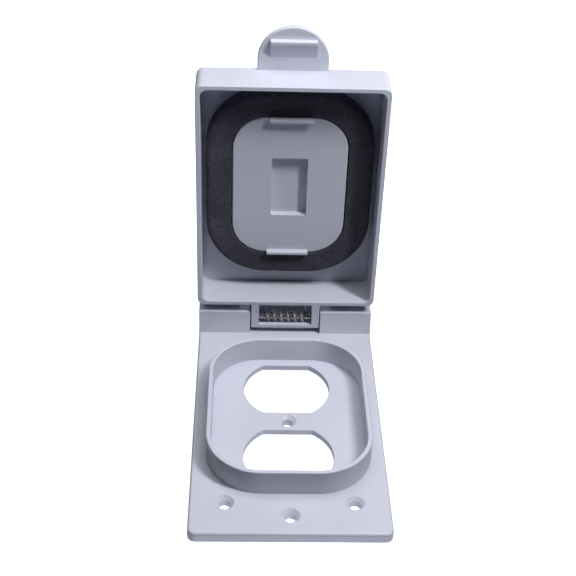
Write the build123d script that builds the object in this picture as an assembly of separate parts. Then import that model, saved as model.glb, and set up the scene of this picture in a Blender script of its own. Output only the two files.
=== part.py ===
from build123d import *
import os

# Weatherproof cover for a duplex receptacle, one gang wide, in light grey moulded PVC.
# The cover lies on its back, which is the side that seats on the box.
# The origin is on that back face, at the axis of the centre screw between the two openings.
# X is the width, +Y points to the hinge and +Z points away from the box. Millimetres.

# Plate, whose width and length are those of a one-gang box, and the hollow in its back
plate_width = 73.0
plate_length = 117.5
plate_height = 4.0
plate_skin = 2.4
plate_corner_radius = 3.0
back_rim_width = 2.2
recess_into_step = 1.05

# Openings for the two outlets, each a circle whose top and bottom are cut off by a flat
opening_diameter = 34.2
opening_flat_cut = 2.8
opening_pitch = 38.9
opening_corner_radius = 0.6

# Screw holes, all countersunk from the front
device_hole_diameter = 4.0
cover_hole_diameter = 4.4
countersink_diameter = 7.0
countersink_depth = 1.3
corner_hole_spacing_x = 47.2
corner_hole_spacing_y = 87.0
centreline_hole_spacing = 99.4
hole_boss_wall = 1.5

# Collar that stands round the openings and meets the foam ring in the lid
collar_side_gap = 12.2
collar_end_gap = 3.65
collar_height = 10.5
collar_wall = 1.8
collar_corner_radius = 21.0

# Hinge step across the far end of the plate, with a leaning face and a notch for the lid's frame
step_gap_to_lid = 3.4
step_face_lean = 1.9
step_below_lid = 3.8
step_rear_wall = 1.8
notch_floor_drop = 0.6
step_core_wall = 2.2
step_core_from_pin = 2.4
stop_rib_length = 15.0
stop_rib_width = 2.2
stop_clearance = 0.2

# Hinge pin and its fits
pin_diameter = 2.4
pin_above_rim = 3.8
pin_seat_depth = 7.0
pin_to_lid_back = 8.5
pin_seat_clearance = 0.02
pin_running_clearance = 0.06
pin_end_chamfer = 0.3
open_angle = 90.0

# Lid shell, whose walls stand clear of the foam ring and, when shut, of the plate
lid_side_gap = 1.6
lid_front_gap = 5.0
lid_back_gap = 8.2
closed_rim_gap = 1.4
lid_wall = 1.8
lid_corner_radius = 3.0
lid_top_round = 1.8

# Pad inside the lid, with its pocket and its two lips
pad_height = 6.1
pad_corner_radius = 14.0
pocket_width = 14.4
pocket_length = 26.5
pocket_depth = 3.0
lip_width = 17.0
lip_thickness = 1.3
lip_height = 2.5

# Foam ring round the pad, a little larger than the collar, and the foam sheet behind the plate
ring_past_collar_side = 2.5
ring_past_collar_end = 2.9
ring_band = 10.8
ring_thickness = 6.4
ring_pad_clearance = 0.3
ring_collar_clearance = 0.3
box_gasket_clearance = 0.3
box_gasket_window_margin = 3.0
box_gasket_window_radius = 8.0

# Thumb tab at the lid's free end, with a wedge-shaped grip ridge below it
tab_radius = 13.7
tab_reach = 17.6
tab_thickness = 2.6
tab_drop = 0.4
ridge_length = 17.8
ridge_height = 2.4
ridge_nose = 1.2
ridge_slope = 6.0
ridge_from_lid = 5.5

# Hinge frame below the lid's back wall: two ears round the pin, joined by a bar
ear_inner_spacing = 22.4
ear_thickness = 3.2
ear_side_clearance = 0.5
ear_radius = 3.0
frame_reach = 3.4
frame_swing_clearance = 0.4
bar_height = 1.6
bar_depth = 1.9

# Torsion spring round the pin, between the ears
wire_diameter = 1.0
wire_bend_swell = 0.02
coil_turns = 6
coil_end_clearance = 2.0
coil_pin_clearance = 0.12
leg_end_clearance = 0.15

# Roundings that the moulding has on its edges
plate_edge_round = 1.1
collar_edge_round = 0.5
opening_edge_round = 0.3
step_edge_round = 0.5
small_edge_round = 0.3
tab_edge_round = 0.6
pad_edge_round = 0.5
pocket_corner_radius = 0.6

# Sizes and places that follow from the sizes above
plate_front_y = -plate_length / 2
recess_depth = plate_height - plate_skin
opening_height = opening_diameter - 2 * opening_flat_cut
collar_width = opening_diameter + 2 * (collar_side_gap + collar_wall)
collar_length = opening_pitch + opening_height + 2 * (collar_end_gap + collar_wall)
ring_width = collar_width + 2 * ring_past_collar_side
ring_length = collar_length + 2 * ring_past_collar_end
pad_width = ring_width - 2 * ring_band
pad_length = ring_length - 2 * ring_band
lid_width = ring_width + 2 * (lid_side_gap + lid_wall)
lid_back_y = ring_length / 2 + lid_back_gap + lid_wall
lid_front_y = -ring_length / 2 - lid_front_gap - lid_wall
lid_length = lid_back_y - lid_front_y
ring_face_depth = collar_height + ring_collar_clearance - closed_rim_gap
lid_depth = ring_face_depth + ring_thickness + lid_wall
rim_z = plate_height + closed_rim_gap
pin_y = lid_back_y + pin_to_lid_back
pin_z = rim_z + pin_above_rim
step_face_y = lid_back_y + step_gap_to_lid
notch_rear_y = pin_y + frame_reach + frame_swing_clearance
step_rear_y = notch_rear_y + step_rear_wall
recess_end_y = step_face_y + recess_into_step
notch_width = ear_inner_spacing + 2 * (ear_thickness + ear_side_clearance)
notch_floor_z = plate_height - notch_floor_drop
open_wall_z = pin_z + pin_to_lid_back
step_top_z = open_wall_z - step_below_lid
bore_end_x = notch_width / 2 + pin_seat_depth
coil_length = ear_inner_spacing - wire_diameter - 2 * coil_end_clearance
coil_pitch = coil_length / coil_turns

# How far a cut runs past what it cuts, and how near an edge lies to the height it is looked for at
cut_over = 1.0
height_match = 0.01


def prism(width, length, radius, bottom, top, y_middle=0.0):
    """A block with rounded upright corners, between two heights."""
    outline = RectangleRounded(width, length, radius)
    return Pos(0, y_middle, bottom) * extrude(outline, top - bottom)


def block(x_range, y_range, z_range):
    """A plain block between three pairs of coordinates."""
    size = [high - low for low, high in (x_range, y_range, z_range)]
    middle = [(high + low) / 2 for low, high in (x_range, y_range, z_range)]
    return Pos(*middle) * Box(*size)


def side_profile(corners, x_start, x_end):
    """A block whose outline is given in Y and Z, between two places along X."""
    side = Plane(origin=(x_start, 0, 0), x_dir=(0, 1, 0), z_dir=(1, 0, 0))
    outline = make_face(Polyline(*corners, close=True))
    return extrude(side * outline, x_end - x_start)


def edges_at_z(solid, height):
    """The edges of a solid that lie flat at one height."""
    return solid.edges().filter_by_position(Axis.Z, height - height_match, height + height_match)


def rod(x_start, x_end, radius):
    """A cylinder along X, centred on the hinge axis."""
    middle = (x_start + x_end) / 2
    return Pos(middle, pin_y, pin_z) * Rot(0, 90, 0) * Cylinder(radius, x_end - x_start)


def cover_hole_places():
    """The box screws: one at each corner and one at each end of the centreline."""
    corners = []
    for side in (-1, 1):
        for end in (-1, 1):
            corners.append((side * corner_hole_spacing_x / 2, end * corner_hole_spacing_y / 2))
    ends = [(0.0, end * centreline_hole_spacing / 2) for end in (-1, 1)]
    return corners + ends


def countersunk_hole(place, diameter):
    """The tool for one screw hole: a through bore that widens to the front face."""
    x, y = place
    through = Pos(x, y, plate_height / 2) * Cylinder(diameter / 2, plate_height + 2 * cut_over)
    slope = (countersink_diameter - diameter) / 2 / countersink_depth
    cone_height = countersink_depth + cut_over
    cone = Cone(diameter / 2, diameter / 2 + slope * cone_height, cone_height)
    return through + Pos(x, y, plate_height - countersink_depth + cone_height / 2) * cone


def hole_boss(place, diameter):
    """The ring behind a screw hole that keeps the foam from being crushed."""
    x, y = place
    radius = diameter / 2 + hole_boss_wall
    return Pos(x, y, (recess_depth + plate_skin / 2) / 2) * Cylinder(radius, recess_depth + plate_skin / 2)


def outlet_opening(y_middle):
    """The tool for one outlet opening, right through the plate."""
    outline = Circle(opening_diameter / 2) & Rectangle(opening_diameter + cut_over, opening_height)
    outline = fillet(outline.vertices(), opening_corner_radius)
    return Pos(0, y_middle, -cut_over) * extrude(outline, plate_height + 2 * cut_over)


def outlet_rims(plate):
    """The front edges of the two outlet openings, which lie well inside the collar's foot."""
    reach_x = opening_diameter / 2 + opening_edge_round
    reach_y = (opening_pitch + opening_height) / 2 + opening_edge_round
    rims = edges_at_z(plate, plate_height)
    rims = rims.filter_by_position(Axis.X, -reach_x, reach_x)
    return rims.filter_by_position(Axis.Y, -reach_y, reach_y)


def flat_plate():
    """The flat plate, rounded along its top edge. Its far end lies inside the hinge step."""
    far_y = (step_face_y + step_rear_y) / 2
    middle = (plate_front_y + far_y) / 2
    plate = prism(plate_width, far_y - plate_front_y, plate_corner_radius, 0, plate_height, middle)
    return fillet(edges_at_z(plate, plate_height), plate_edge_round)


def recess_prism(inset, bottom, top):
    """A block that fills the hollow in the plate's back, less an inset on every side."""
    width = plate_width - 2 * (back_rim_width + inset)
    near_y = plate_front_y + back_rim_width + inset
    far_y = recess_end_y - inset
    radius = plate_corner_radius - inset
    return prism(width, far_y - near_y, radius, bottom, top, (near_y + far_y) / 2)


def back_recess():
    """The tool for the shallow hollow in the back that holds the foam."""
    return recess_prism(0, -cut_over, recess_depth)


def collar():
    """The thin wall round the two outlets, rounded along its top edge."""
    top = plate_height + collar_height
    foot = plate_height - plate_skin / 2
    outer = prism(collar_width, collar_length, collar_corner_radius, foot, top)
    inner_width = collar_width - 2 * collar_wall
    inner_length = collar_length - 2 * collar_wall
    inner_radius = collar_corner_radius - collar_wall
    inner = prism(inner_width, inner_length, inner_radius, foot - cut_over, top + cut_over)
    wall = outer - inner
    return fillet(edges_at_z(wall, top), collar_edge_round)


def hinge_step():
    """The raised step that carries the pin, with a stop rib on each side for the open lid."""
    corners = [(step_face_y, 0), (step_face_y, plate_height), (step_face_y + step_face_lean, step_top_z)]
    corners += [(step_rear_y, step_top_z), (step_rear_y, 0)]
    step = side_profile(corners, -plate_width / 2, plate_width / 2)
    rear_uprights = step.edges().filter_by(Axis.Z).group_by(Axis.Y)[-1]
    step = fillet(rear_uprights, plate_corner_radius)
    step = fillet(edges_at_z(step, step_top_z), step_edge_round)
    rib_outer_x = plate_width / 2 - step_core_wall
    rib_y = (step_rear_y - plate_corner_radius - stop_rib_width, step_rear_y - plate_corner_radius)
    rib_z = (step_top_z - step_core_wall / 2, open_wall_z - stop_clearance)
    for side in (-1, 1):
        rib_x = sorted((side * rib_outer_x, side * (rib_outer_x - stop_rib_length)))
        rib = block(rib_x, rib_y, rib_z)
        step += fillet(edges_at_z(rib, rib_z[1]), small_edge_round)
    return step


def step_cores():
    """The tool for the two pockets that lighten the step, open to the back."""
    inner_x = bore_end_x + step_core_from_pin
    outer_x = plate_width / 2 - step_core_wall
    core_y = (step_face_y + step_face_lean + step_core_wall, step_rear_y - step_core_wall)
    core_z = (-cut_over, step_top_z - step_core_wall)
    return block((-outer_x, -inner_x), core_y, core_z) + block((inner_x, outer_x), core_y, core_z)


def base_plate():
    """The whole base moulding: plate, collar, bosses, hinge step, openings and holes."""
    base = flat_plate() + collar() + hinge_step() - back_recess() - step_cores()
    notch_x = (-notch_width / 2, notch_width / 2)
    base -= block(notch_x, (step_face_y, notch_rear_y), (notch_floor_z, open_wall_z))
    base -= rod(-bore_end_x, plate_width / 2 + cut_over, pin_diameter / 2 + pin_seat_clearance)
    for end in (-1, 1):
        base -= outlet_opening(end * opening_pitch / 2)
    base = fillet(outlet_rims(base), opening_edge_round)
    for place in cover_hole_places():
        base += hole_boss(place, cover_hole_diameter)
    base += hole_boss((0, 0), device_hole_diameter)
    for place in cover_hole_places():
        base -= countersunk_hole(place, cover_hole_diameter)
    return base - countersunk_hole((0, 0), device_hole_diameter)


def lid_shell():
    """The lid's five walls, in the closed position, open towards the plate."""
    middle = (lid_back_y + lid_front_y) / 2
    top = rim_z + lid_depth
    outer = prism(lid_width, lid_length, lid_corner_radius, rim_z, top, middle)
    outer = fillet(edges_at_z(outer, top), lid_top_round)
    inner_width = lid_width - 2 * lid_wall
    inner_length = lid_length - 2 * lid_wall
    cavity = prism(inner_width, inner_length, lid_corner_radius, rim_z - cut_over, top - lid_wall, middle)
    shell = outer - cavity
    return fillet(edges_at_z(shell, rim_z), small_edge_round)


def lid_pad():
    """The raised pad on the lid's inside, with its pocket and a lip at each end."""
    ceiling = rim_z + lid_depth - lid_wall
    face = ceiling - pad_height
    pad = prism(pad_width, pad_length, pad_corner_radius, face, ceiling + lid_wall / 2)
    pad = fillet(edges_at_z(pad, face), pad_edge_round)
    pad -= prism(pocket_width, pocket_length, pocket_corner_radius, face - cut_over, face + pocket_depth)
    for end in (-1, 1):
        lip_y = sorted((end * pad_length / 2, end * (pad_length / 2 - lip_thickness)))
        lip = block((-lip_width / 2, lip_width / 2), lip_y, (face - lip_height, face + pad_edge_round))
        pad += fillet(edges_at_z(lip, face - lip_height), small_edge_round)
    return pad


def thumb_tab():
    """The half-round tab at the free end, flush below the lid's top, with its grip ridge."""
    top = rim_z + lid_depth - tab_drop
    centre_y = lid_front_y - (tab_reach - tab_radius)
    outline = Pos(0, centre_y) * Circle(tab_radius)
    root = lid_front_y + lid_wall / 2
    outline += Pos(0, (centre_y + root) / 2) * Rectangle(2 * tab_radius, root - centre_y)
    outline -= Pos(0, root + tab_radius) * Rectangle(2 * tab_radius + cut_over, 2 * tab_radius)
    tab = Pos(0, 0, top - tab_thickness) * extrude(outline, tab_thickness)
    rim = tab.edges().filter_by(lambda edge: edge.center().Y < lid_front_y - cut_over)
    tab = fillet(rim, tab_edge_round)
    return tab + grip_ridge(top - tab_thickness)


def grip_ridge(tab_face):
    """The ridge that a thumb pulls on: a short nose, and a slope that runs back to the tab's face."""
    foot = lid_front_y - ridge_from_lid
    nose = foot - ridge_slope
    crest = tab_face - ridge_height
    inside = tab_face + tab_thickness / 2
    corners = [(foot, inside), (foot, tab_face), (nose, crest), (nose - ridge_nose, crest)]
    corners.append((nose - ridge_nose, inside))
    ridge = side_profile(corners, -ridge_length / 2, ridge_length / 2)
    return fillet(edges_at_z(ridge, crest), small_edge_round)


def hinge_frame():
    """The two ears that turn on the pin and the bar that joins them, with the pin's bore."""
    root_y = lid_back_y - lid_wall / 2
    end_y = pin_y + frame_reach
    frame = None
    for side in (-1, 1):
        ear_x = sorted((side * ear_inner_spacing / 2, side * (ear_inner_spacing / 2 + ear_thickness)))
        ear = block(ear_x, (root_y, pin_y), (rim_z, pin_z + ear_radius))
        ear += block(ear_x, (pin_y, end_y), (rim_z, rim_z + bar_depth))
        ear += rod(ear_x[0], ear_x[1], ear_radius)
        frame = ear if frame is None else frame + ear
    bar_x = (-ear_inner_spacing / 2 - small_edge_round, ear_inner_spacing / 2 + small_edge_round)
    frame += block(bar_x, (end_y - bar_height, end_y), (rim_z, rim_z + bar_depth))
    long_edges = frame.edges().filter_by(Axis.X).group_by(Axis.Y)[-1]
    frame = fillet(long_edges, small_edge_round)
    reach = notch_width / 2
    return frame - rod(-reach, reach, pin_diameter / 2 + pin_running_clearance)


def opened(solid):
    """A lid piece swung from its closed place to the open one, about the pin."""
    hinge = Axis((0, pin_y, pin_z), (1, 0, 0))
    return solid.rotate(hinge, -open_angle)


def lid():
    """The whole lid moulding, standing open."""
    return opened(lid_shell() + lid_pad() + thumb_tab() + hinge_frame())


def lid_gasket():
    """The foam ring on the lid's inside that the collar presses into."""
    ceiling = rim_z + lid_depth - lid_wall
    face = ceiling - ring_thickness
    outer = prism(ring_width, ring_length, pad_corner_radius + ring_band, face, ceiling)
    inner_width = pad_width + 2 * ring_pad_clearance
    inner_length = pad_length + 2 * ring_pad_clearance
    inner_radius = pad_corner_radius + ring_pad_clearance
    inner = prism(inner_width, inner_length, inner_radius, face - cut_over, ceiling + cut_over)
    return opened(outer - inner)


def box_gasket():
    """The foam frame in the plate's back, with one window for both outlets."""
    sheet = recess_prism(box_gasket_clearance, 0, recess_depth)
    window_width = opening_diameter + 2 * box_gasket_window_margin
    window_length = opening_pitch + opening_height + 2 * box_gasket_window_margin
    sheet -= prism(window_width, window_length, box_gasket_window_radius, -cut_over, plate_height)
    boss_radius = cover_hole_diameter / 2 + hole_boss_wall + box_gasket_clearance
    for x, y in cover_hole_places():
        sheet -= Pos(x, y, recess_depth / 2) * Cylinder(boss_radius, recess_depth + 2 * cut_over)
    return sheet


def hinge_pin():
    """The stainless pin, pressed into both cheeks of the step."""
    pin = rod(-bore_end_x, bore_end_x, pin_diameter / 2)
    return chamfer(pin.edges().filter_by(GeomType.CIRCLE), pin_end_chamfer)


def torsion_spring():
    """The spring: a coil round the pin, one leg on the notch floor and one under the lid."""
    wire_radius = wire_diameter / 2
    coil_radius = pin_diameter / 2 + coil_pin_clearance + wire_radius
    frame = Plane(origin=(-coil_length / 2, pin_y, pin_z), x_dir=(0, 1, 0), z_dir=(1, 0, 0))
    path = frame * Helix(coil_pitch, coil_length, coil_radius)
    section = Plane(origin=path @ 0, z_dir=path % 0) * Circle(wire_radius)
    spring = sweep(section, path)
    leg_y = pin_y + coil_radius
    floor = notch_floor_z + leg_end_clearance
    ceiling = open_wall_z - leg_end_clearance
    for end, low, high in ((-1, floor, pin_z), (1, pin_z, ceiling)):
        leg = Cylinder(wire_radius, high - low)
        spring += Pos(end * coil_length / 2, leg_y, pin_z) * Sphere(wire_radius + wire_bend_swell)
        spring += Pos(end * coil_length / 2, leg_y, (low + high) / 2) * leg
    return spring


def main():
    os.makedirs("parts", exist_ok=True)
    pieces = {
        "base_plate": base_plate(),
        "box_gasket": box_gasket(),
        "hinge_pin": hinge_pin(),
        "lid": lid(),
        "lid_gasket": lid_gasket(),
        "torsion_spring": torsion_spring(),
    }
    for name, solid in pieces.items():
        export_step(solid, f"parts/{name}.step")
        print(name, len(solid.solids()), round(solid.volume, 1))


main()
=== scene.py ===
import math

import bmesh
import bpy
from mathutils import Matrix, Vector, noise


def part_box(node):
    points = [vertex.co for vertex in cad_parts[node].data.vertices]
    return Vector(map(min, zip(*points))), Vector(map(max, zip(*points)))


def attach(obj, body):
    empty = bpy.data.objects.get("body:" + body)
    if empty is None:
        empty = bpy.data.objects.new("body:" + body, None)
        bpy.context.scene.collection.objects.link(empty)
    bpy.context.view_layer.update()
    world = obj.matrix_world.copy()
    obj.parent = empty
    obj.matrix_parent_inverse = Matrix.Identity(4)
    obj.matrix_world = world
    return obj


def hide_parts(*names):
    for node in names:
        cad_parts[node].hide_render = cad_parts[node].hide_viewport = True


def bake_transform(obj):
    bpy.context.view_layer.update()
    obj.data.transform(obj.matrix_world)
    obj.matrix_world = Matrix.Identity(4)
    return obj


# Weatherproof cover for a duplex receptacle, light grey PVC, with its lid standing open.
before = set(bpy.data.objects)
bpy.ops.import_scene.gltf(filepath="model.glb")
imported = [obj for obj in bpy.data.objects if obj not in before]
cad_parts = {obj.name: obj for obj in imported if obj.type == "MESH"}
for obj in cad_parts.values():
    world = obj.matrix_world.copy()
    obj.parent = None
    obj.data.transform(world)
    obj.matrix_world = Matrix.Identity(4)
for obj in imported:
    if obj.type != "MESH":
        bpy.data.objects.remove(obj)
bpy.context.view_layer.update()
scene = bpy.context.scene
mm = 0.001
print("frame loaded:", ", ".join(sorted(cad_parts)))


# sRGB hex text to the linear colour that a socket takes
def linearColour(hexText):
    channels = [int(hexText[i:i + 2], 16) / 255 for i in (1, 3, 5)]
    return [c / 12.92 if c <= 0.04045 else ((c + 0.055) / 1.055) ** 2.4 for c in channels] + [1.0]


# noise and cell textures take their scale from the size of one blotch or cell
def patternScale(sizeInMm):
    return 1 / (sizeInMm * mm)


# a Mix node's colour sockets share their names with others, so they go by number
mixShare, mixFirst, mixSecond, mixResult = 0, 6, 7, 2


# one node with its settings; an input is a plain value or another node's output
def addNode(tree, kind, settings=None, inputs=None):
    node = tree.nodes.new(kind)
    for name, value in (settings or {}).items():
        setattr(node, name, value)
    for name, value in (inputs or {}).items():
        if isinstance(value, bpy.types.NodeSocket):
            tree.links.new(value, node.inputs[name])
        else:
            node.inputs[name].default_value = value
    return node


def newMaterial(name):
    material = bpy.data.materials.new(name)
    material.use_nodes = True
    material.node_tree.nodes.clear()
    return material, material.node_tree


# Rigid PVC, injection moulded in a spark-eroded mould: an even light grey with a cool cast,
# a soft broad sheen and a fine grain.
pvc = {
    "colour": "#cdd1dc",
    "colourDeep": "#c7cad6",
    "clouding": 26.0,       # mm, faint clouds in the resin
    "streak": (5.0, 45.0),  # mm, melt flow across and along the part
    "streakMost": 0.28,     # share of the deep colour in the middle of a streak
    "grain": 0.8,           # mm; really about 0.15, drawn coarser so that it shows
    "grainDepth": 0.03,     # mm
    "sink": 14.0,           # mm, gentle unevenness of a moulded wall
    "sinkDepth": 0.05,      # mm
    "roughness": (0.36, 0.50),
    "ior": 1.53,
}


def makePvc():
    material, tree = newMaterial("pvcMouldedLightGrey")
    place = addNode(tree, "ShaderNodeTexCoord").outputs["Object"]
    clouds = addNode(tree, "ShaderNodeTexNoise", inputs={
        "Vector": place, "Scale": patternScale(pvc["clouding"]), "Detail": 4.0, "Roughness": 0.55})
    across, along = (patternScale(size) for size in pvc["streak"])
    stretched = addNode(tree, "ShaderNodeMapping", inputs={
        "Vector": place, "Scale": (across, along, along)})
    streaks = addNode(tree, "ShaderNodeTexNoise", inputs={
        "Vector": stretched.outputs["Vector"], "Scale": 1.0, "Detail": 3.0, "Distortion": 0.4})
    grain = addNode(tree, "ShaderNodeTexNoise", inputs={
        "Vector": place, "Scale": patternScale(pvc["grain"]), "Detail": 3.0, "Roughness": 0.6})
    sink = addNode(tree, "ShaderNodeTexNoise", inputs={
        "Vector": place, "Scale": patternScale(pvc["sink"]), "Detail": 1.0})

    # resin colour: clouds first, then the faintest flow streaks
    cloudy = addNode(tree, "ShaderNodeMix", {"data_type": "RGBA"}, {
        mixShare: clouds.outputs["Fac"],
        mixFirst: linearColour(pvc["colourDeep"]), mixSecond: linearColour(pvc["colour"])})
    streakShare = addNode(tree, "ShaderNodeMapRange", inputs={
        "Value": streaks.outputs["Fac"], "From Min": 0.45, "From Max": 0.75,
        "To Min": 0.0, "To Max": pvc["streakMost"]})
    colour = addNode(tree, "ShaderNodeMix", {"data_type": "RGBA"}, {
        mixShare: streakShare.outputs["Result"],
        mixFirst: cloudy.outputs[mixResult], mixSecond: linearColour(pvc["colourDeep"])})

    smooth, matt = pvc["roughness"]
    sheen = addNode(tree, "ShaderNodeMapRange", inputs={
        "Value": streaks.outputs["Fac"], "From Min": 0.3, "From Max": 0.7,
        "To Min": smooth, "To Max": matt})
    wavy = addNode(tree, "ShaderNodeBump", inputs={
        "Strength": 0.5, "Distance": pvc["sinkDepth"] * mm, "Height": sink.outputs["Fac"]})
    grainy = addNode(tree, "ShaderNodeBump", inputs={
        "Strength": 0.35, "Distance": pvc["grainDepth"] * mm, "Height": grain.outputs["Fac"],
        "Normal": wavy.outputs["Normal"]})
    shader = addNode(tree, "ShaderNodeBsdfPrincipled", inputs={
        "Base Color": colour.outputs[mixResult], "Roughness": sheen.outputs["Result"],
        "IOR": pvc["ior"], "Normal": grainy.outputs["Normal"]})
    addNode(tree, "ShaderNodeOutputMaterial", inputs={"Surface": shader.outputs["BSDF"]})
    return material


# Closed-cell EPDM foam, die-cut from sheet: dull black with a cold bloom, its skin broken
# by tiny cells whose pits carry painted shade.
foam = {
    "colour": "#403d49",
    # the pore colour is painted shade for the pits in the skin
    "colourPoreShade": "#1b1a20",
    "colourBloom": "#575463",
    "cell": 0.9,           # mm; really 0.3, drawn coarser so that it shows
    "cellDepth": 0.12,     # mm
    "poreShadeMost": 0.85,      # share of the painted pit shade in the middle of a cell
    "bloom": 11.0,         # mm, patches of pale bloom on the skin
    "bloomMost": 0.7,      # share of the bloom's colour in the middle of a patch
    "roughness": (0.78, 0.95),
    "ior": 1.5,
}


def makeFoam():
    material, tree = newMaterial("foamClosedCellBlack")
    place = addNode(tree, "ShaderNodeTexCoord").outputs["Object"]
    cells = addNode(tree, "ShaderNodeTexVoronoi", inputs={
        "Vector": place, "Scale": patternScale(foam["cell"]), "Randomness": 1.0})
    blooms = addNode(tree, "ShaderNodeTexNoise", inputs={
        "Vector": place, "Scale": patternScale(foam["bloom"]), "Detail": 5.0, "Roughness": 0.6})
    # painted shade: the pore colour darkens the middle of each cell, where the bump below sinks a pit
    poreShadeShare = addNode(tree, "ShaderNodeMapRange", inputs={
        "Value": cells.outputs["Distance"], "From Min": 0.12, "From Max": 0.5,
        "To Min": foam["poreShadeMost"], "To Max": 0.0})
    bloomShare = addNode(tree, "ShaderNodeMapRange", inputs={
        "Value": blooms.outputs["Fac"], "From Min": 0.42, "From Max": 0.72,
        "To Min": 0.0, "To Max": foam["bloomMost"]})
    skin = addNode(tree, "ShaderNodeMix", {"data_type": "RGBA"}, {
        mixShare: bloomShare.outputs["Result"],
        mixFirst: linearColour(foam["colour"]), mixSecond: linearColour(foam["colourBloom"])})
    # the painted pit shade goes over the skin and its bloom
    colour = addNode(tree, "ShaderNodeMix", {"data_type": "RGBA"}, {
        mixShare: poreShadeShare.outputs["Result"],
        mixFirst: skin.outputs[mixResult], mixSecond: linearColour(foam["colourPoreShade"])})
    worn, dull = foam["roughness"]
    sheen = addNode(tree, "ShaderNodeMapRange", inputs={
        "Value": blooms.outputs["Fac"], "From Min": 0.3, "From Max": 0.7,
        "To Min": worn, "To Max": dull})
    pitted = addNode(tree, "ShaderNodeBump", inputs={
        "Strength": 0.8, "Distance": foam["cellDepth"] * mm, "Height": cells.outputs["Distance"]})
    shader = addNode(tree, "ShaderNodeBsdfPrincipled", inputs={
        "Base Color": colour.outputs[mixResult], "Roughness": sheen.outputs["Result"],
        "IOR": foam["ior"], "Normal": pitted.outputs["Normal"]})
    addNode(tree, "ShaderNodeOutputMaterial", inputs={"Surface": shader.outputs["BSDF"]})
    return material


# Stainless steel rod, centreless ground: bright, with fine rings round it that stretch
# the highlight.
stainless = {
    "colour": "#c3c0ba",
    "colourDull": "#98958f",
    "line": 0.25,          # mm between the rings that grinding leaves
    "smudge": 3.0,         # mm, dull patches
    "roughness": (0.20, 0.38),
}

# Spring steel wire, cold drawn and oiled: greyer than the pin, with lines along the wire.
springSteel = {
    "colour": "#cbc8c4",
    "colourDull": "#9a9793",
    "line": 0.2,           # mm between the draw lines, measured round the wire
    "smudge": 2.0,         # mm, patches of dried oil
    "roughness": (0.40, 0.58),
}

# what both steels share
steelFinish = {
    "lineSlowness": 0.03,  # the pattern changes this much slower along a line than across it
    "lineDepth": 0.02,     # mm
    "dullMost": 0.8,       # share of the dull colour in the middle of a smudge
}


# The lines lie across the first axis of the coordinates: rings round the pin, which runs along X,
# and draw lines along the wire, whose first UV coordinate goes round it. Object coordinates are
# in metres and the wire's UV coordinates in millimetres.
def makeSteel(name, steel, coordinates):
    material, tree = newMaterial(name)
    place = addNode(tree, "ShaderNodeTexCoord").outputs[coordinates]
    perMm = patternScale(1.0) if coordinates == "Object" else 1.0
    acrossLines = perMm / steel["line"]
    alongLines = acrossLines * steelFinish["lineSlowness"]
    squeezed = addNode(tree, "ShaderNodeMapping", inputs={
        "Vector": place, "Scale": (acrossLines, alongLines, alongLines)})
    lines = addNode(tree, "ShaderNodeTexNoise", inputs={
        "Vector": squeezed.outputs["Vector"], "Scale": 1.0, "Detail": 2.0})
    smudges = addNode(tree, "ShaderNodeTexNoise", inputs={
        "Vector": place, "Scale": perMm / steel["smudge"], "Detail": 4.0, "Roughness": 0.6})
    dullShare = addNode(tree, "ShaderNodeMapRange", inputs={
        "Value": smudges.outputs["Fac"], "From Min": 0.40, "From Max": 0.72,
        "To Min": 0.0, "To Max": steelFinish["dullMost"]})
    colour = addNode(tree, "ShaderNodeMix", {"data_type": "RGBA"}, {
        mixShare: dullShare.outputs["Result"],
        mixFirst: linearColour(steel["colour"]), mixSecond: linearColour(steel["colourDull"])})
    bright, dull = steel["roughness"]
    sheen = addNode(tree, "ShaderNodeMapRange", inputs={
        "Value": smudges.outputs["Fac"], "From Min": 0.3, "From Max": 0.7,
        "To Min": bright, "To Max": dull})
    lined = addNode(tree, "ShaderNodeBump", inputs={
        "Strength": 0.3, "Distance": steelFinish["lineDepth"] * mm, "Height": lines.outputs["Fac"]})
    shader = addNode(tree, "ShaderNodeBsdfPrincipled", inputs={
        "Base Color": colour.outputs[mixResult], "Metallic": 1.0,
        "Roughness": sheen.outputs["Result"], "Normal": lined.outputs["Normal"]})
    addNode(tree, "ShaderNodeOutputMaterial", inputs={"Surface": shader.outputs["BSDF"]})
    return material


pvcMaterial = makePvc()
foamMaterial = makeFoam()
stainlessMaterial = makeSteel("steelStainlessGround", stainless, "Object")
springMaterial = makeSteel("steelSpringDrawn", springSteel, "UV")
print("materials made:", len(bpy.data.materials))


# the mouldings and the pin keep their CAD shape and take a finish
def dressNode(name, material):
    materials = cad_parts[name].data.materials
    materials.clear()
    materials.append(material)


dressNode("base_plate", pvcMaterial)
dressNode("lid", pvcMaterial)
dressNode("hinge_pin", stainlessMaterial)
print("mouldings and pin dressed")


def meshPiece(name, vertices, faces, material):
    mesh = bpy.data.meshes.new(name)
    mesh.from_pydata(vertices, [], faces)
    mesh.materials.append(material)
    mesh.polygons.foreach_set("use_smooth", [True] * len(mesh.polygons))
    mesh.update()
    piece = bpy.data.objects.new(name, mesh)
    scene.collection.objects.link(piece)
    return piece


# A rectangle with round corners as (x, y, outward x, outward y) round its middle, in mm.
# A straight side has a point about every sideStep.
def roundedOutline(width, length, radius, cornerSteps, sideStep):
    outline = []
    for quarter in range(4):
        turn = quarter * math.pi / 2
        cornerX = (width / 2 - radius) * (1, -1, -1, 1)[quarter]
        cornerY = (length / 2 - radius) * (1, 1, -1, -1)[quarter]
        for step in range(cornerSteps + 1):
            angle = turn + step / cornerSteps * math.pi / 2
            out = (math.cos(angle), math.sin(angle))
            outline.append((cornerX + radius * out[0], cornerY + radius * out[1], *out))
        side = (length if quarter % 2 else width) - 2 * radius
        fromX, fromY, outX, outY = outline[-1]
        sideSteps = round(side / sideStep)
        for step in range(1, sideSteps):
            gone = step / sideSteps * side
            outline.append((fromX - outY * gone, fromY + outX * gone, outX, outY))
    return outline


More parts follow.
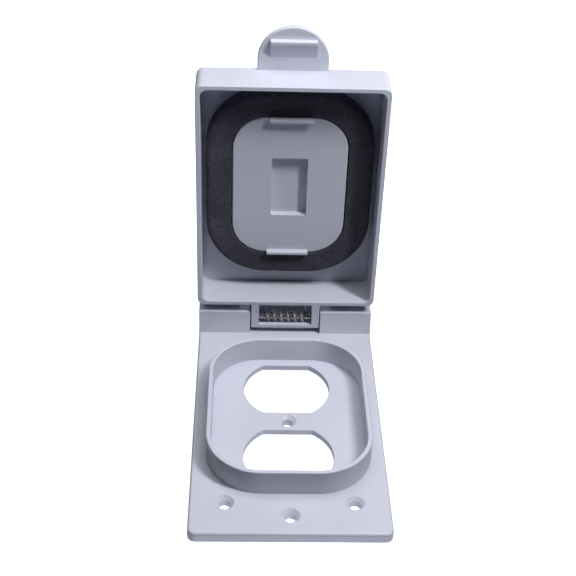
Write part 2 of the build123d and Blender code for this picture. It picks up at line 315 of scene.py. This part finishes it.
# Foam ring in the lid. It takes its size and place from the solid that it stands for.
ring = {
    "band": 10.5,          # mm wide
    "outerRadius": 24.8,   # mm, of the corners
    "edgeRound": 0.45,     # mm, the blade drags the skin over a little
    "edgeSteps": 3,
    "outerRound": 2.4,     # mm, the outer edge of the face, pressed in first, is rolled right over
    "outerSteps": 7,
    "faceSteps": 9,
    "cornerSteps": 20,
    "sideStep": 2.5,       # mm
    "sag": 0.16,           # mm, the free edges and the face aren't quite true
    "sagSize": 7.0,        # mm
    "rippleSize": 1.75,    # mm, finer waves on the sag
    "rippleShare": 0.3,
}


# the ring's section, as (distance in from the outer edge, depth behind the face)
def ringSection(thickness):
    edge, rolled, band = ring["edgeRound"], ring["outerRound"], ring["band"]
    corners = [
        (band - edge, edge, -90, edge, ring["edgeSteps"]),
        (band - edge, thickness - edge, 0, edge, ring["edgeSteps"]),
        (edge, thickness - edge, 90, edge, ring["edgeSteps"]),
        (rolled, rolled, 180, rolled, ring["outerSteps"]),
    ]
    section = []
    for inward, depth, start, radius, steps in corners:
        for step in range(steps + 1):
            angle = math.radians(start + step * 90 / steps)
            section.append((inward + radius * math.cos(angle), depth + radius * math.sin(angle)))
    for step in range(1, ring["faceSteps"]):
        share = step / ring["faceSteps"]
        section.append((rolled + (band - edge - rolled) * share, 0.0))
    return section


# how far the foam gives way at a place, in mm; both noises are brought from -1...1 to 0...1
def foamGive(spot):
    wander = noise.noise(spot / ring["sagSize"]) * 0.5 + 0.5
    ripple = noise.noise(spot / ring["rippleSize"]) * 0.5 + 0.5
    return ring["sag"] * ((1 - ring["rippleShare"]) * wander + ring["rippleShare"] * ripple)


def makeFoamRing():
    low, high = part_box("lid_gasket")
    size, middle = (high - low) / mm, (high + low) / 2 / mm
    thickness = size.y
    section = ringSection(thickness)
    outline = roundedOutline(size.x, size.z, ring["outerRadius"], ring["cornerSteps"], ring["sideStep"])
    vertices = []
    for x, z, outX, outZ in outline:
        for inward, depth in section:
            spot = Vector((x - outX * inward, depth, z - outZ * inward))
            give = foamGive(spot)
            pull = give * (2 * inward / ring["band"] - 1)
            spot.x += outX * pull
            spot.z += outZ * pull
            spot.y += give * (1 - depth / thickness)
            vertices.append(Vector((middle.x + spot.x, low.y / mm + spot.y, middle.z + spot.z)) * mm)
    count, around = len(section), len(outline)
    faces = []
    for i in range(around):
        here, there = i * count, (i + 1) % around * count
        for j in range(count):
            k = (j + 1) % count
            faces.append((here + j, here + k, there + k, there + j))
    piece = meshPiece("foamRing", vertices, faces, foamMaterial)
    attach(piece, "lid")
    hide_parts("lid_gasket")
    return piece


foamRing = makeFoamRing()
print("foam ring:", len(foamRing.data.polygons), "faces")


# Foam sheet in the back of the plate, die-cut: one window and a clearance hole round each
# screw boss. It takes its outside from the solid that it stands for.
sheet = {
    "cornerRadius": 2.7,           # mm, as all sizes here
    "cornerSteps": 8,
    "window": (40.2, 73.5, 8.0),   # width, length and corner radius
    "windowSteps": 12,
    "sideStep": 200,               # longer than any side, so that a side has no point of its own
    "bossRadius": 4.0,
    "bossSteps": 48,
    "cornerScrews": (23.6, 43.5),  # from the middle, as the end screws
    "endScrews": 49.7,
    "edgeRound": 0.2,
    "edgeSteps": 2,
}


def sheetOutlines(size):
    outside = roundedOutline(
        size.x, size.y, sheet["cornerRadius"], sheet["cornerSteps"], sheet["sideStep"])
    window = roundedOutline(*sheet["window"], sheet["windowSteps"], sheet["sideStep"])
    cornerX, cornerY = sheet["cornerScrews"]
    screws = [(sx * cornerX, sy * cornerY) for sx in (-1, 1) for sy in (-1, 1)]
    screws += [(0.0, sy * sheet["endScrews"]) for sy in (-1, 1)]
    radius, steps = sheet["bossRadius"], sheet["bossSteps"]
    angles = [2 * math.pi * step / steps for step in range(steps)]
    holes = [[(x + radius * math.cos(a), y + radius * math.sin(a)) for a in angles] for x, y in screws]
    return [outside, window, *holes]


def makeFoamSheet():
    low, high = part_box("box_gasket")
    size, middle = (high - low) / mm, (high + low) / 2
    curve = bpy.data.curves.new("foamSheet", "CURVE")
    curve.dimensions = "2D"
    curve.fill_mode = "BOTH"
    curve.bevel_depth = sheet["edgeRound"] * mm
    curve.bevel_resolution = sheet["edgeSteps"]
    curve.offset = -sheet["edgeRound"] * mm
    curve.extrude = (size.z / 2 - sheet["edgeRound"]) * mm
    for outline in sheetOutlines(size):
        spline = curve.splines.new("POLY")
        spline.points.add(len(outline) - 1)
        for point, corner in zip(spline.points, outline):
            point.co = (corner[0] * mm, corner[1] * mm, 0.0, 1.0)
        spline.use_cyclic_u = True
    carrier = bpy.data.objects.new("foamSheetOutline", curve)
    scene.collection.objects.link(carrier)
    bpy.context.view_layer.update()
    mesh = bpy.data.meshes.new_from_object(carrier)
    bpy.data.objects.remove(carrier)
    mesh.name = "foamSheet"
    mesh.transform(Matrix.Translation(middle))
    mesh.materials.clear()
    mesh.materials.append(foamMaterial)
    piece = bpy.data.objects.new("foamSheet", mesh)
    scene.collection.objects.link(piece)
    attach(piece, "base")
    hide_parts("box_gasket")
    return piece


foamSheet = makeFoamSheet()
print("foam sheet:", len(foamSheet.data.polygons), "faces")


# Torsion spring round the pin: left leg down to the notch floor, right leg up to the lid's
# back wall. Sizes in mm.
spring = {
    "axis": (60.6, 9.2),   # the pin's y and z
    "coilRadius": 1.82,    # to the middle of the wire
    "wire": 1.0,           # diameter
    "turns": 6,
    "halfLength": 8.7,
    "floor": 3.55,         # where the legs end
    "ceiling": 17.55,
    "lieFlat": 0.04,       # share of the coil at each end that lies flat before it opens to its pitch
    "endRound": 0.12,      # the cut ends are rubbed round
    "turnSteps": 40,
    "floorLegSteps": 8,
    "ceilingLegSteps": 10,
    "wireSides": 16,
}


# how far along the coil a point lies, from 0 to 1, at a share of all its turns
def coilTravel(share):
    flat = spring["lieFlat"]
    fromEnd = min(share, 1 - share)
    if fromEnd >= flat:
        return share
    lag = flat / math.pi * math.sin(math.pi * fromEnd / flat)
    return share - lag if share < 0.5 else share + lag


def springPath():
    axisY, axisZ = spring["axis"]
    half, radius = spring["halfLength"], spring["coilRadius"]
    legY = axisY + radius
    rise, steps = axisZ - spring["floor"], spring["floorLegSteps"]
    path = [Vector((-half, legY, spring["floor"] + step / steps * rise)) for step in range(steps)]
    steps = spring["turns"] * spring["turnSteps"]
    for step in range(steps + 1):
        share = step / steps
        angle = share * spring["turns"] * 2 * math.pi
        path.append(Vector((
            half * (2 * coilTravel(share) - 1),
            axisY + radius * math.cos(angle), axisZ + radius * math.sin(angle))))
    rise, steps = spring["ceiling"] - axisZ, spring["ceilingLegSteps"]
    path += [Vector((half, legY, axisZ + step / steps * rise)) for step in range(1, steps + 1)]
    return path


# the wire's rings of points as (middle, direction, sideways, radius, distance along the wire)
def wireStations(path):
    radius, nip = spring["wire"] / 2, spring["endRound"]
    last = len(path) - 1
    stations, sideways, travel = [], Vector((1, 0, 0)), 0.0
    for k, middle in enumerate(path):
        direction = (path[min(k + 1, last)] - path[max(k - 1, 0)]).normalized()
        travel += (middle - path[k - 1]).length if k else 0.0
        sideways = (sideways - direction * sideways.dot(direction)).normalized()
        stations.append((middle, direction, sideways.copy(), radius, travel))
    foot, head = stations[0], stations[-1]
    stations[0] = (foot[0] + foot[1] * nip, *foot[1:])
    stations[-1] = (head[0] - head[1] * nip, *head[1:])
    return [(*foot[:3], radius - nip, foot[4]), *stations, (*head[:3], radius - nip, head[4])]


# texture coordinates in mm, the first round the wire and the second along it
def unrollWire(piece, travels):
    sides, girth = spring["wireSides"], math.pi * spring["wire"]
    layer = piece.data.uv_layers.new(name="wire")
    for polygon in piece.data.polygons:
        turns = [vertex % sides for vertex in polygon.vertices]
        crossesSeam = len(turns) == 4 and 0 in turns and sides - 1 in turns
        for corner, vertex, turn in zip(polygon.loop_indices, polygon.vertices, turns):
            share = 1.0 if crossesSeam and turn == 0 else turn / sides
            layer.data[corner].uv = (share * girth, travels[vertex])


def makeSpring():
    stations = wireStations(springPath())
    sides = spring["wireSides"]
    vertices, travels = [], []
    for middle, direction, sideways, radius, travel in stations:
        up = direction.cross(sideways)
        for s in range(sides):
            angle = 2 * math.pi * s / sides
            vertices.append((middle + (sideways * math.cos(angle) + up * math.sin(angle)) * radius) * mm)
            travels.append(travel)
    lastRing = (len(stations) - 1) * sides
    faces = []
    for here in range(0, lastRing, sides):
        for s in range(sides):
            t = (s + 1) % sides
            faces.append((here + s, here + t, here + sides + t, here + sides + s))
    faces.append(tuple(reversed(range(sides))))
    faces.append(tuple(range(lastRing, lastRing + sides)))
    piece = meshPiece("springWire", vertices, faces, springMaterial)
    unrollWire(piece, travels)
    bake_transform(piece)
    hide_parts("torsion_spring")
    return piece


springWire = makeSpring()
print("spring:", len(springWire.data.polygons), "faces")


# Camera: in front, 36 degrees above, turned and tilted a little as in the photograph.
camera = {
    "place": (-17.28, -345.63, 317.22),   # mm
    "turn": 2.555,                        # degrees to the right of straight ahead
    "down": 35.785,
    "roll": 2.26,
    "lens": 74.43,                        # mm
    "sensor": 36.0,                       # mm wide
    "clip": (0.01, 50.0),                 # metres
}


def makeCamera():
    data = bpy.data.cameras.new("camera")
    data.lens = camera["lens"]
    data.sensor_width = camera["sensor"]
    data.clip_start, data.clip_end = camera["clip"]
    holder = bpy.data.objects.new("camera", data)
    aim = (Matrix.Rotation(math.radians(-camera["turn"]), 4, "Z")
           @ Matrix.Rotation(math.radians(90 - camera["down"]), 4, "X")
           @ Matrix.Rotation(math.radians(camera["roll"]), 4, "Z"))
    holder.matrix_world = Matrix.Translation(Vector(camera["place"]) * mm) @ aim
    scene.collection.objects.link(holder)
    scene.camera = holder


makeCamera()
print("camera set")


# Lights: a narrow upright strip on the right, whose shadows are sharp sideways and soft
# downwards, a softbox overhead and one behind on the left. Places and sizes in mm.
lamps = {
    "keyStrip": {
        "place": (217, -114, 479), "aim": (0, 20, 60), "size": (54, 170),
        "watts": 1.92, "colour": "#fcfcff"},
    "overheadSoftbox": {
        "place": (0, 20, 420), "aim": (0, 20, 0), "size": (200, 200),
        "watts": 0.60, "colour": "#fcfbff"},
    "leftSoftbox": {
        "place": (-303, 175, 646), "aim": (0, 20, 40), "size": (300, 300),
        "watts": 0.64, "colour": "#faf9ff"},
    # low behind the lid, so that its back isn't black; nothing of it reaches the front
    "rearSoftbox": {
        "place": (80, 640, 70), "aim": (0, 70, 70), "size": (460, 160),
        "watts": 1.3, "colour": "#f6f8ff"},
    # what the lit table sends up at the plate's front edge
    "tableEdge": {
        "place": (0, -98, -50), "aim": (0, -62, 2), "size": (130, 20),
        "watts": 0.027, "colour": "#f2f4ff"},
}

# a dark surround that glows only from underneath, as the lit table close round the part does
surround = {
    "colour": "#e6eaff",
    "underneath": 1.15,
    "elsewhere": 0.01,
    "edge": (-0.65, -0.55),   # where one becomes the other, as height on a sphere of radius 1
}


def makeLamps():
    for name, lamp in lamps.items():
        data = bpy.data.lights.new(name, "AREA")
        data.shape = "RECTANGLE"
        data.size, data.size_y = (side * mm for side in lamp["size"])
        data.energy = lamp["watts"]
        data.color = linearColour(lamp["colour"])[:3]
        holder = bpy.data.objects.new(name, data)
        holder.location = Vector(lamp["place"]) * mm
        toAim = Vector(lamp["aim"]) - Vector(lamp["place"])
        holder.rotation_euler = toAim.to_track_quat("-Z", "Y").to_euler()
        holder.visible_camera = False
        scene.collection.objects.link(holder)


def makeSurround():
    world = bpy.data.worlds.new("surround")
    scene.world = world
    world.use_nodes = True
    tree = world.node_tree
    tree.nodes.clear()
    direction = addNode(tree, "ShaderNodeTexCoord").outputs["Generated"]
    parts = addNode(tree, "ShaderNodeSeparateXYZ", inputs={"Vector": direction})
    lower, upper = surround["edge"]
    strength = addNode(tree, "ShaderNodeMapRange", inputs={
        "Value": parts.outputs["Z"], "From Min": lower, "From Max": upper,
        "To Min": surround["underneath"], "To Max": surround["elsewhere"]})
    sky = addNode(tree, "ShaderNodeBackground", inputs={
        "Color": linearColour(surround["colour"]), "Strength": strength.outputs["Result"]})
    addNode(tree, "ShaderNodeOutputWorld", inputs={"Surface": sky.outputs["Background"]})


# Table of opal acrylic, lit from below: a flat even white. Its whole glow would be too strong
# on the part, so light on its way to the part passes the sheet and comes from the surround.
table = {
    "colour": "#f2f2f4",
    "colourPale": "#f7f7f9",
    "veil": 60.0,             # mm, the faintest unevenness
    "glow": 0.86,
    "roughness": 0.6,
    "ior": 1.49,
    "halfSize": 16.0,         # metres, so that low views show no end of it
    "segments": 8,
    "below": 0.05,            # mm under the part
}


def makeTable():
    material, tree = newMaterial("acrylicOpal")
    place = addNode(tree, "ShaderNodeTexCoord").outputs["Object"]
    veil = addNode(tree, "ShaderNodeTexNoise", inputs={
        "Vector": place, "Scale": patternScale(table["veil"]), "Detail": 2.0})
    pale = addNode(tree, "ShaderNodeMix", {"data_type": "RGBA"}, {
        mixShare: veil.outputs["Fac"],
        mixFirst: linearColour(table["colour"]), mixSecond: linearColour(table["colourPale"])})
    shader = addNode(tree, "ShaderNodeBsdfPrincipled", inputs={
        "Base Color": pale.outputs[mixResult], "Roughness": table["roughness"], "IOR": table["ior"],
        "Emission Color": linearColour("#ffffff"), "Emission Strength": table["glow"]})
    addNode(tree, "ShaderNodeOutputMaterial", inputs={"Surface": shader.outputs["BSDF"]})
    grid = bmesh.new()
    bmesh.ops.create_grid(
        grid, x_segments=table["segments"], y_segments=table["segments"], size=table["halfSize"])
    mesh = bpy.data.meshes.new("table")
    grid.to_mesh(mesh)
    grid.free()
    mesh.materials.append(material)
    holder = bpy.data.objects.new("table", mesh)
    holder.location.z = -table["below"] * mm
    holder.visible_diffuse = False
    holder.visible_glossy = False
    holder.visible_shadow = False
    scene.collection.objects.link(holder)


makeLamps()
makeSurround()
makeTable()
scene.view_settings.view_transform = "Standard"
scene.view_settings.look = "None"
print("lights and table set")
